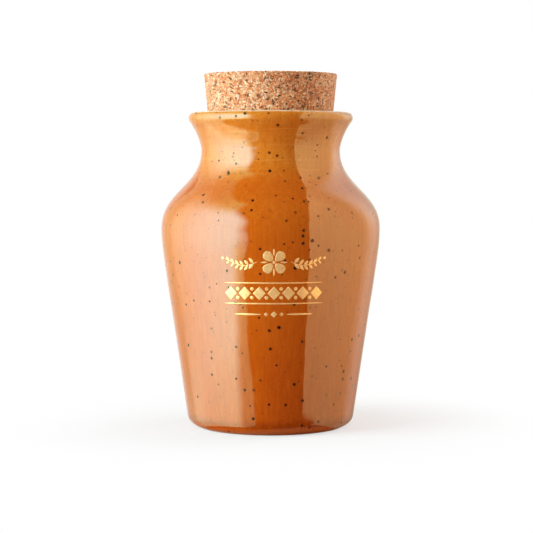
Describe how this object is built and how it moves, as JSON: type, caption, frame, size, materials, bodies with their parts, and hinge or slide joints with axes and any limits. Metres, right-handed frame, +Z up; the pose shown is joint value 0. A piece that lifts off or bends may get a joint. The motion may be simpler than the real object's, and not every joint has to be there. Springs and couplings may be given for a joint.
{
  "type": "mustard crock",
  "caption": "Shut stoneware mustard crock: amber gloss glaze, wide shoulder, short flared neck with a rolled rim, and a tapered cork standing proud of the mouth.",
  "frame": {"origin": "middle of the foot, on the surface that the crock stands on", "axes": "+Z up along the axis of revolution; the decorated front faces -Y; +X to the right of that front"},
  "size_m": [0.0907, 0.0906, 0.146],
  "materials": {
    "honey_glaze": "high-gloss honey-amber stoneware glaze with fine dark specks; the standing ring is bare buff clay",
    "cork": "matte pressed cork granules",
    "gold_print": "thin fired gold print"
  },
  "bodies": {
    "root": {"crock": "honey_glaze", "cork": "cork"}
  },
  "joints": []
}
